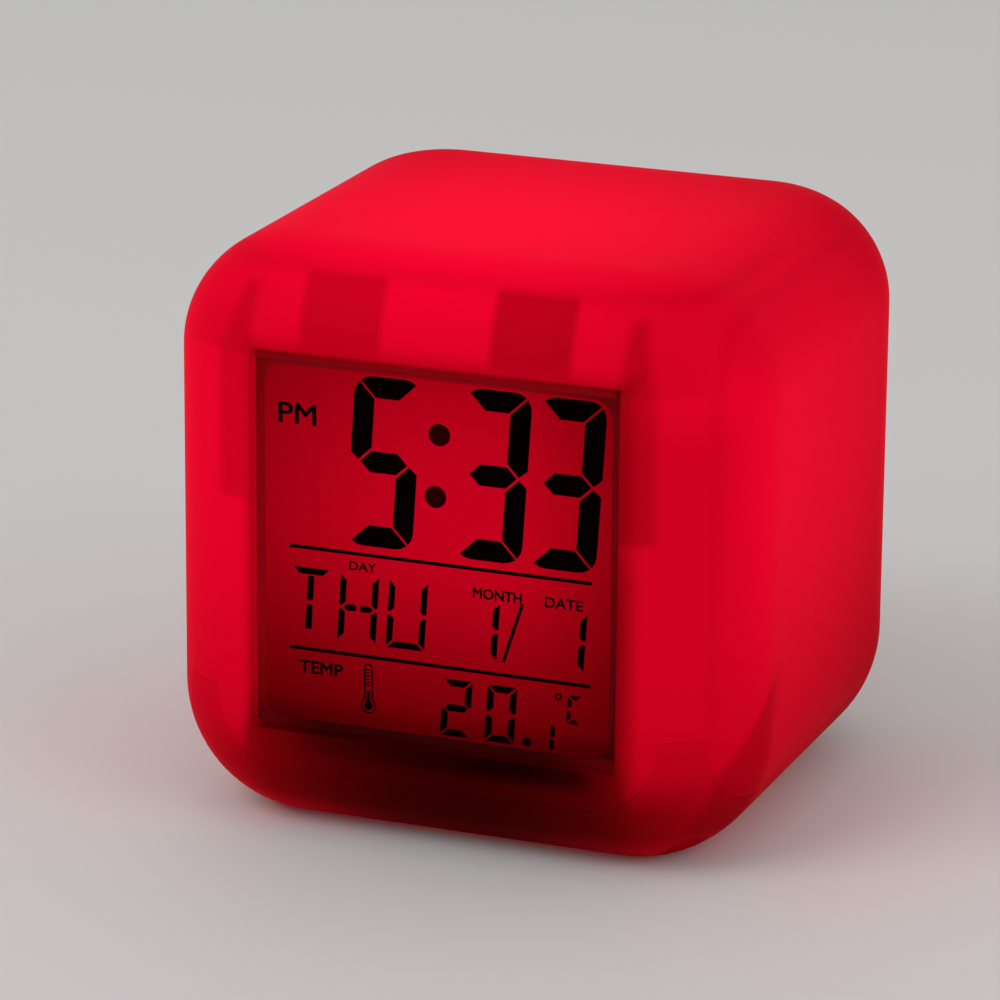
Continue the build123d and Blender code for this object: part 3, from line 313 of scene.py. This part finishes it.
def display_level(finish):
    """Level of the light behind the display: a bright spot that fades to the corners."""
    x, z = finish.place("xz")
    away = (x - 4.7).lopsided(50.0, 26.0) + (z - 44.5).lopsided(27.5, 38.0)
    return DISPLAY_LEVEL + DISPLAY_SPOT_LEVEL * away.fading() - 0.07 * finish.step(19.5, 16.0, z)


def rim_level(finish):
    """Painted light on the holder's front and the window's walls, dimmer than the display and with painted
    shade under it.
    """
    x, z = finish.place("xz")
    low_left = finish.step(40.0, 26.0, z) * finish.step(-10.0, -20.0, x)
    level = display_level(finish) * (0.8 + 0.2 * low_left - 0.08 * finish.step(10.0, 24.0, x))
    below = 0.19 + 0.14 * finish.step(14.0, 24.0, abs(x))
    return level + (below - level) * finish.step(17.0, 16.2, z)


def milky_surface(finish, level):
    """Lit milky plastic with a slight cloud and a fine moulded grain."""
    level = level + 0.012 * (finish.grain(9.0) - 0.5)
    return finish.surface(
        base_color=finish.red_light(level, PAINT_SHARE),
        roughness=0.46 + 0.1 * finish.grain(4.0),
        specular_ior_level=0.004,
        emission_color=finish.red_light(level, LIGHT_SHARE),
        emission_strength=1.0,
        normal=finish.bump(finish.grain(0.35, 1.0), 0.02, 0.25),
    )


def case_finish():
    finish = Finish("lit_milky_case")
    x, y, z = finish.place()
    level = case_level(finish)
    # The window's top, bottom and right walls take the holder's dimmer painted light
    wall = finish.step(0.5, 0.2, beside_window(x, z)) * finish.step(-35.0, -36.0, y)
    wall = wall * finish.step(-24.3, -23.3, x)
    return milky_surface(finish, level + (rim_level(finish) - level) * wall)


def base_finish():
    finish = Finish("lit_milky_base")
    x, y, z = finish.place()
    # Painted shade: the base a little dimmer than the shell, the flat underside dimmer still, and darker in the
    # screw recesses
    level = case_level(finish) * 0.95
    away = (abs(x) - TAB_SCREW_X).squared() + (abs(y) - TAB_SCREW_Y).squared()
    recess_shade = finish.step(12.0, 9.0, away) * finish.step(5.0, 4.0, z)
    level = level + (UNDERSIDE_LEVEL - level) * finish.step(1.2, 0.2, z)
    return milky_surface(finish, level * (1.0 - 0.12 * recess_shade))


def panel_finish():
    finish = Finish("lit_rear_panel")
    x, z = finish.place("xz")
    cloud = finish.grain(9.0)
    lit_rim = finish.step(14.0, 19.0, abs(x)).at_least(finish.step(14.0, 19.0, abs(z - 39.5)))
    # Painted light: the panel glows brightest at 46 mm up, dimmer above and below it, and brighter at its rim,
    # with a slight cloud
    level = 0.66 - 0.0004 * (z - 46.0).squared() + 0.06 * lit_rim + 0.02 * (cloud - 0.5)
    fine = finish.grain(0.4, 1.0)
    return finish.surface(
        base_color=finish.red_light(level, PAINT_SHARE),
        roughness=0.5 + 0.1 * finish.grain(3.0),
        specular_ior_level=0.25,
        emission_color=finish.red_light(level, LIGHT_SHARE),
        emission_strength=1.0,
        normal=finish.bump(fine, 0.02, 0.3),
    )


def button_finish():
    finish = Finish("pale_button_caps")
    y = finish.place("y")[0]
    # Painted light: the caps glow red from inside, more towards their roots at the panel
    lit_root = finish.step(38.2, 36.6, y)
    cloud = finish.grain(2.5)
    fine = finish.grain(0.3, 1.0)
    pale = finish.blend(0.3 * cloud, (0.78, 0.7, 0.68, 1.0), (0.7, 0.6, 0.58, 1.0))
    level = 0.34 + 0.3 * lit_root
    return finish.surface(
        base_color=pale,
        roughness=0.36 + 0.12 * cloud,
        emission_color=finish.red_light(level, 1.0),
        emission_strength=1.0,
        normal=finish.bump(fine, 0.02, 0.25),
    )


# The display
def lens_finish():
    finish = Finish("clear_display_lens")
    x, z = finish.place("xz")
    facing = finish.node("ShaderNodeLayerWeight", sockets={"Blend": 0.5}, output="Facing")
    inner = finish.step(24.6, 24.3, abs(x)) * finish.band(window_low.z + 0.2, window_high.z - 0.2, 0.1, z)
    smear = finish.grain(14.0, 3.0)
    # Near its top and left edges the lens turns opaque and takes the case's painted light
    lit_edge = finish.step(0.75, 0.55, window_high.z - z).at_least(finish.step(0.2, 0.1, x - window_low.x))
    clear = 0.008 + 0.006 * smear + 0.4 * facing ** 4.0 * inner
    return finish.surface(
        base_color=(0.004, 0.001, 0.001, 1.0),
        roughness=0.06 + 0.08 * smear,
        specular_ior_level=0.02,
        alpha=clear.at_least(lit_edge),
        emission_color=finish.red_light(case_level(finish) * 0.95, lit_edge),
        emission_strength=1.0,
    )


def glass_finish():
    finish = Finish("display_glass")
    tint = finish.grain(20.0)
    return finish.surface(
        base_color=(0.004, 0.001, 0.001, 1.0),
        roughness=0.1,
        specular_ior_level=0.2,
        alpha=0.006 + 0.006 * tint,
    )


def diffuser_finish():
    finish = Finish("lit_display_film")
    level = display_level(finish) + 0.012 * (finish.grain(7.0) - 0.5)
    return finish.surface(
        base_color=finish.red_light(level, 0.1),
        roughness=0.6,
        specular_ior_level=0.0,
        emission_color=finish.red_light(level, 1.0),
        emission_strength=1.0,
    )


def mark_finish():
    """Dark marks, with the little red light that still passes them, more of it at the colon."""
    finish = Finish("display_marks")
    x, z = finish.place("xz")
    cloud = finish.grain(3.0)
    colon = finish.step(2.6, 2.2, abs(x + 0.4)) * finish.band(46.0, 58.0, 0.2, z)
    return finish.surface(
        base_color=finish.blend(cloud, (0.0008, 0.0003, 0.0004, 1.0), (0.0016, 0.0004, 0.0006, 1.0)),
        roughness=0.6,
        specular_ior_level=0.0,
        emission_color=finish.red_light(0.03 + 0.01 * cloud + 0.12 * colon, 1.0),
        emission_strength=1.0,
    )


def holder_finish():
    finish = Finish("dark_display_holder")
    # Painted light: the holder glows a dim red at the rim level, darker under the display
    level = rim_level(finish) + 0.03 * (finish.grain(5.0) - 0.5)
    return finish.surface(
        base_color=finish.red_light(level, 0.15),
        roughness=0.6,
        specular_ior_level=0.05,
        emission_color=finish.red_light(level, 0.92),
        emission_strength=1.0,
        normal=finish.bump(finish.grain(0.5, 1.0), 0.02, 0.3),
    )


# Parts out of sight
def board_finish():
    finish = Finish("green_circuit_board")
    tracks = finish.node(
        "ShaderNodeTexVoronoi",
        {"feature": "DISTANCE_TO_EDGE"},
        {"Vector": finish.point(), "Scale": 260.0, "Randomness": 0.6},
    )
    copper = finish.step(0.09, 0.05, tracks)
    mottle = finish.grain(6.0)
    mask = finish.blend(mottle, (0.012, 0.12, 0.045, 1.0), (0.02, 0.17, 0.06, 1.0))
    return finish.surface(
        base_color=finish.blend(copper, mask, (0.05, 0.3, 0.1, 1.0)),
        roughness=0.3 + 0.15 * mottle,
        normal=finish.bump(copper, 0.04, 0.5),
    )


def plain_plastic(name, dark, light, roughness):
    """Moulded plastic with a fine grain and a slight change of shade."""
    finish = Finish(name)
    cloud = finish.grain(2.0)
    fine = finish.grain(0.25, 1.0)
    return finish.surface(
        base_color=finish.blend(cloud, dark, light),
        roughness=roughness + 0.15 * cloud,
        normal=finish.bump(fine, 0.02, 0.35),
    )


def metal_finish(name, dark, light, stretch):
    """Worked metal with fine lines across one way."""
    finish = Finish(name)
    turned = finish.node("ShaderNodeMapping", sockets={"Vector": finish.point(), "Scale": stretch})
    lines = finish.node("ShaderNodeTexNoise", sockets={"Vector": turned, "Scale": 1.0, "Detail": 3.0})
    return finish.surface(
        base_color=finish.blend(lines, dark, light),
        metallic=1.0,
        roughness=0.24 + 0.2 * lines,
        normal=finish.bump(lines, 0.01, 0.3),
    )


def lamp_finish():
    finish = Finish("clear_red_lamp")
    z = finish.place("z")[0]
    core = finish.step(26.0, 20.0, z)
    return finish.surface(
        base_color=finish.blend(core, (0.9, 0.5, 0.5, 1.0), (0.8, 0.1, 0.12, 1.0)),
        roughness=0.08,
        alpha=0.55 + 0.35 * core,
        emission_color=finish.red_light(0.6 + 0.4 * core, 1.0),
        emission_strength=1.0,
    )


def cell_finish(name, plus):
    """Plain battery jacket; plus is 1 where its positive end points along +X, and -1 along -X."""
    finish = Finish(name)
    along = finish.place("x")[0] * plus
    scuff = finish.grain(1.2, 4.0)
    jacket = finish.blend(scuff, (0.045, 0.06, 0.085, 1.0), (0.07, 0.09, 0.12, 1.0))
    coat = finish.blend(finish.band(8.0, 19.5, 0.15, along), jacket, (0.62, 0.66, 0.68, 1.0))
    ring = finish.band(6.2, 7.0, 0.1, along)
    coat = finish.blend(ring, coat, (0.55, 0.08, 0.07, 1.0))
    end = finish.step(20.6, 20.8, along).at_least(finish.step(-21.6, -21.8, along))
    return finish.surface(
        base_color=finish.blend(end, coat, (0.66, 0.65, 0.62, 1.0)),
        metallic=end,
        roughness=0.3 + 0.12 * scuff,
        normal=finish.bump(scuff, 0.01, 0.3),
    )


def ribbon_finish():
    finish = Finish("amber_ribbon")
    x = finish.place("x")[0]
    lines = finish.node("ShaderNodeMath", {"operation": "PINGPONG"}, {0: x, 1: 0.5})
    track = finish.step(0.2, 0.3, lines)
    return finish.surface(
        base_color=finish.blend(track, (0.45, 0.16, 0.02, 1.0), (0.62, 0.3, 0.06, 1.0)),
        roughness=0.3 + 0.1 * finish.grain(3.0),
        normal=finish.bump(track, 0.03, 0.5),
    )


milky_case = case_finish()
milky_base = base_finish()
caps = button_finish()
ink = mark_finish()
dark_ink = plain_plastic("dark_print", (0.012, 0.006, 0.007, 1.0), (0.02, 0.008, 0.01, 1.0), 0.45)
pale_ink = plain_plastic("pale_print", (0.74, 0.62, 0.6, 1.0), (0.8, 0.7, 0.68, 1.0), 0.45)
black_plastic = plain_plastic("black_moulding", (0.018, 0.018, 0.02, 1.0), (0.03, 0.03, 0.033, 1.0), 0.42)
dress(milky_case, "outer_shell")
dress(milky_base, "base", "battery_door")
dress(panel_finish(), "rear_panel")
dress(caps, "light_switch_knob", *["button_" + name for name in BUTTONS])
dress(lens_finish(), "display_lens")
dress(glass_finish(), "lcd_front_glass", "lcd_rear_glass")
dress(diffuser_finish(), "lcd_diffuser")
dress(ink, "lcd_segments")
dress(holder_finish(), "lcd_holder", "lcd_retainer")
dress(board_finish(), "main_board", "light_board")
dress(black_plastic, "clock_chip", "capacitor", "board_resistors", "push_switches")
dress(black_plastic, "sounder", "lamp_driver", *["plunger_" + name for name in BUTTONS])
sensor_drop = plain_plastic("sensor_drop", (0.012, 0.012, 0.014, 1.0), (0.02, 0.02, 0.022, 1.0), 0.2)
red_wire = plain_plastic("red_wire", (0.42, 0.012, 0.012, 1.0), (0.5, 0.02, 0.02, 1.0), 0.4)
black_wire = plain_plastic("black_wire", (0.015, 0.015, 0.016, 1.0), (0.025, 0.025, 0.027, 1.0), 0.4)
white_wire = plain_plastic("white_wire", (0.66, 0.66, 0.63, 1.0), (0.74, 0.74, 0.71, 1.0), 0.4)
dress(sensor_drop, "temperature_sensor")
dress(red_wire, "wire_positive")
dress(black_wire, "wire_negative")
dress(white_wire, "link_wires")
screw_lines = (900.0, 900.0, 9000.0)
spring_lines = (700.0, 700.0, 7000.0)
steel = metal_finish("screw_steel", (0.5, 0.5, 0.49, 1.0), (0.66, 0.66, 0.64, 1.0), screw_lines)
spring = metal_finish("spring_plate", (0.6, 0.58, 0.54, 1.0), (0.75, 0.73, 0.68, 1.0), spring_lines)
dress(steel, "base_screws", "board_screws", "light_board_screws", "crystal", "light_switch_body")
dress(spring, *["contact_bridge_" + row for row in ("front", "middle", "rear")])
dress(spring, "contact_negative", "contact_positive")
dress(lamp_finish(), *["lamp_%d" % number for number in range(1, 5)])
dress(cell_finish("cell_plus_right", 1.0), "battery_1", "battery_3")
dress(cell_finish("cell_plus_left", -1.0), "battery_2", "battery_4")
dress(ribbon_finish(), "lcd_ribbon")


# Lettering
MARK_INSET = 0.01
PRINT_SINK = 0.05
PRINT_RISE = 0.03

# Words on the display: left, right, floor, top and weight of the strokes
DISPLAY_WORDS = {
    "PM": (-22.0, -16.8, 55.3, 58.0, 0.025),
    "DAY": (-12.3, -8.6, 36.8, 38.0, 0.03),
    "MONTH": (4.6, 11.2, 35.2, 36.6, 0.04),
    "DATE": (14.3, 19.4, 35.2, 36.6, 0.03),
    "TEMP": (-19.2, -13.2, 22.2, 23.9, 0.04),
}

# Legends at the back: heights, and distances from what they name
BUTTON_LEGEND_HEIGHT = 1.35
BUTTON_LEGEND_DROP = 4.2
SNOOZE_LEGEND_HEIGHT = 1.9
LIGHT_LEGEND_HEIGHT = 1.2
LIGHT_LEGEND_RISE = 3.5
STATE_LEGEND_HEIGHT = 1.1
STATE_LEGEND_DROP = 3.3
ON_LEGEND_SHIFT = -2.2
OFF_LEGEND_SHIFT = 2.6
SWITCH_TRAVEL = 3.0


def thicken(piece, shift):
    """Widens a word's strokes: it is joined with a copy of itself that is moved by a share of its size."""
    bpy.ops.object.duplicate()
    twin = bpy.context.object
    twin.location = shift
    bpy.context.view_layer.objects.active = piece
    union = piece.modifiers.new("union", "BOOLEAN")
    union.operation = "UNION"
    union.solver = "EXACT"
    union.object = twin
    bpy.ops.object.modifier_apply(modifier=union.name)
    bpy.data.objects.remove(twin)
    piece.select_set(True)


def lettering(name, words, turn, weight=0.0):
    """A word as a mesh, turned but not yet in its place, with its strokes widened by a weight."""
    bpy.ops.object.select_all(action="DESELECT")
    bpy.ops.object.text_add()
    piece = bpy.context.object
    piece.name = name
    piece.data.body = words
    piece.data.extrude = 0.05
    piece.data.resolution_u = 5
    bpy.ops.object.convert(target="MESH")
    bpy.ops.object.mode_set(mode="EDIT")
    bpy.ops.mesh.select_all(action="SELECT")
    bpy.ops.mesh.remove_doubles(threshold=0.0001)
    bpy.ops.object.mode_set(mode="OBJECT")
    if weight:
        thicken(piece, (weight, 0.0, 0.0))
        thicken(piece, (0.0, weight, 0.0))
    piece.rotation_euler = [math.radians(angle) for angle in turn]
    bpy.ops.object.transform_apply(location=True, rotation=True, scale=True)
    return piece


def fit(piece, low, high):
    """Scales and moves a piece into a box, given by its two corners in millimetres."""
    points = [Vector(point) for point in piece.bound_box]
    first = [min(point[axis] for point in points) for axis in range(3)]
    last = [max(point[axis] for point in points) for axis in range(3)]
    for axis in range(3):
        piece.scale[axis] = (high[axis] - low[axis]) * MM / (last[axis] - first[axis])
        piece.location[axis] = low[axis] * MM - first[axis] * piece.scale[axis]
    bpy.ops.object.transform_apply(location=True, rotation=True, scale=True)


def finish_piece(piece, material, body):
    piece.data.materials.clear()
    piece.data.materials.append(material)
    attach(piece, body)


def display_word(words, left, right, floor, top, weight):
    piece = lettering("display_" + words.lower(), words, (90.0, 0.0, 0.0), weight)
    fit(piece, (left, mark_low.y + MARK_INSET, floor), (right, mark_high.y - MARK_INSET, top))
    finish_piece(piece, ink, "case")


def rear_legend(name, words, centre, level, height, face, material, body):
    """Print at the back, on a face this far along Y, with its middle at (centre, level)."""
    piece = lettering(name, words, (90.0, 0.0, 180.0))
    width = height * piece.dimensions.x / piece.dimensions.z
    low = (centre - width / 2, face - PRINT_SINK, level - height / 2)
    high = (centre + width / 2, face + PRINT_RISE, level + height / 2)
    fit(piece, low, high)
    finish_piece(piece, material, body)


for words, (left, right, floor_level, top_level, weight) in DISPLAY_WORDS.items():
    display_word(words, left, right, floor_level, top_level, weight)

for name in ROUND_BUTTONS:
    cap = middle("button_" + name)
    drop = cap.z - BUTTON_LEGEND_DROP
    rear_legend("legend_" + name, name.upper(), cap.x, drop, BUTTON_LEGEND_HEIGHT, PANEL_FACE, pale_ink, "case")

snooze = middle("button_snooze")
rear_legend(
    "legend_snooze", "SNOOZE", snooze.x, snooze.z, SNOOZE_LEGEND_HEIGHT, CAP_FACE, dark_ink, "snooze_button"
)

knob = middle("light_switch_knob")
slot_x = knob.x + SWITCH_TRAVEL / 2
light_z = knob.z + LIGHT_LEGEND_RISE
state_z = knob.z - STATE_LEGEND_DROP
on_x = slot_x + ON_LEGEND_SHIFT
off_x = slot_x + OFF_LEGEND_SHIFT
rear_legend("legend_light", "LIGHT", slot_x, light_z, LIGHT_LEGEND_HEIGHT, PANEL_FACE, pale_ink, "case")
rear_legend("legend_on", "ON", on_x, state_z, STATE_LEGEND_HEIGHT, PANEL_FACE, pale_ink, "case")
rear_legend("legend_off", "OFF", off_x, state_z, STATE_LEGEND_HEIGHT, PANEL_FACE, pale_ink, "case")


# Grips of the battery door and of the light switch
GRIP_COUNT = 4
GRIP_FIRST_ROW = 15.4
GRIP_SPACING = 1.5
GRIP_HALF_LENGTH = 6.0
GRIP_HALF_WIDTH = 0.4
GRIP_RADIUS = 0.18
RIDGE_COUNT = 3
RIDGE_SPACING = 1.1
RIDGE_HALF_LENGTH = 1.3
RIDGE_HALF_WIDTH = 0.25
RIDGE_RADIUS = 0.16
HALF_RELIEF = 0.2


def rounded_bar(name, low, high, round_radius):
    """A bar with rounded edges between two corners, in millimetres."""
    bpy.ops.object.select_all(action="DESELECT")
    bpy.ops.mesh.primitive_cube_add(size=1.0)
    piece = bpy.context.object
    piece.name = name
    fit(piece, low, high)
    bpy.ops.object.mode_set(mode="EDIT")
    bpy.ops.mesh.select_all(action="SELECT")
    bpy.ops.mesh.bevel(offset=round_radius * MM, segments=3, affect="EDGES")
    bpy.ops.object.mode_set(mode="OBJECT")
    bpy.ops.object.shade_smooth_by_angle(angle=math.radians(50.0))
    return piece


for number in range(GRIP_COUNT):
    row = GRIP_FIRST_ROW - GRIP_SPACING * number
    grip_low = (-GRIP_HALF_LENGTH, row - GRIP_HALF_WIDTH, DOOR_FACE - HALF_RELIEF)
    grip_high = (GRIP_HALF_LENGTH, row + GRIP_HALF_WIDTH, DOOR_FACE + HALF_RELIEF)
    grip = rounded_bar("door_grip_%d" % (number + 1), grip_low, grip_high, GRIP_RADIUS)
    finish_piece(grip, milky_base, "battery_door")

knob_face = corners("light_switch_knob")[1].y
for number in range(RIDGE_COUNT):
    rib = knob.x + RIDGE_SPACING * (number - (RIDGE_COUNT - 1) / 2)
    ridge_low = (rib - RIDGE_HALF_WIDTH, knob_face - HALF_RELIEF, knob.z - RIDGE_HALF_LENGTH)
    ridge_high = (rib + RIDGE_HALF_WIDTH, knob_face + HALF_RELIEF, knob.z + RIDGE_HALF_LENGTH)
    ridge = rounded_bar("switch_ridge_%d" % (number + 1), ridge_low, ridge_high, RIDGE_RADIUS)
    finish_piece(ridge, caps, "light_switch")

# Raised word on the door, read from below
OPEN_LEFT, OPEN_FRONT = -4.5, 3.0
OPEN_RIGHT, OPEN_BACK = 4.5, 5.4
OPEN_RISE = 0.15
OPEN_SINK = 0.1
open_word = lettering("door_open_mark", "OPEN", (180.0, 0.0, 0.0))
open_low = (OPEN_LEFT, OPEN_FRONT, DOOR_FACE - OPEN_RISE)
open_high = (OPEN_RIGHT, OPEN_BACK, DOOR_FACE + OPEN_SINK)
fit(open_word, open_low, open_high)
finish_piece(open_word, milky_base, "battery_door")


# Floor, light and camera
def floor_finish():
    """Pale floor, clear from below so that the underside can be looked at."""
    finish = Finish("pale_floor")
    pale = {"Base Color": (0.7, 0.69, 0.68, 1.0), "Roughness": 0.6, "Specular IOR Level": 0.2}
    top = finish.node("ShaderNodeBsdfPrincipled", sockets=pale)
    below = finish.node("ShaderNodeBsdfTransparent")
    under = finish.node("ShaderNodeNewGeometry", output="Backfacing")
    both = finish.node("ShaderNodeMixShader", sockets={0: under, 1: top, 2: below})
    finish.node("ShaderNodeOutputMaterial", sockets={"Surface": both})
    return finish.material


bpy.ops.object.select_all(action="DESELECT")
bpy.ops.mesh.primitive_plane_add(size=6.0)
floor = bpy.context.object
floor.name = "floor"
floor.data.materials.append(floor_finish())

scene = bpy.context.scene
scene.view_settings.view_transform = "Standard"
world = bpy.data.worlds.new("studio")
world.use_nodes = True
world.node_tree.nodes["Background"].inputs["Color"].default_value = (1.0, 1.0, 1.0, 1.0)
world.node_tree.nodes["Background"].inputs["Strength"].default_value = 0.6
scene.world = world


CLOCK_MIDDLE = Vector((0.0, 0.0, 0.035))


def soft_box(name, place, power, size):
    """A square lamp that faces the middle of the clock."""
    bpy.ops.object.light_add(type="AREA", location=place)
    lamp = bpy.context.object
    lamp.name = name
    lamp.data.energy = power
    lamp.data.size = size
    lamp.rotation_euler = (CLOCK_MIDDLE - Vector(place)).to_track_quat("-Z", "Y").to_euler()


soft_box("key_lamp", (-0.55, -0.8, 0.95), 4.5, 0.7)
soft_box("fill_lamp", (0.95, -0.35, 0.6), 1.8, 0.7)

# Camera, as found from the outline of the case in the photo
turn = math.radians(21.238)
rise = math.radians(17.233)
tilt = math.radians(0.455)
eye = Vector((244.59, -644.0, 250.97)) * MM
back = Vector((math.sin(turn) * math.cos(rise), -math.cos(turn) * math.cos(rise), math.sin(rise)))
level_right = Vector((math.cos(turn), math.sin(turn), 0.0))
level_up = back.cross(level_right)
right = math.cos(tilt) * level_right + math.sin(tilt) * level_up
up = math.cos(tilt) * level_up - math.sin(tilt) * level_right
bpy.ops.object.camera_add()
camera = bpy.context.object
camera.data.lens = 196.749
camera.data.sensor_width = 36.0
camera.data.clip_start = 0.01
camera.matrix_world = Matrix.Translation(eye) @ Matrix((right, up, back)).transposed().to_4x4()
scene.camera = camera
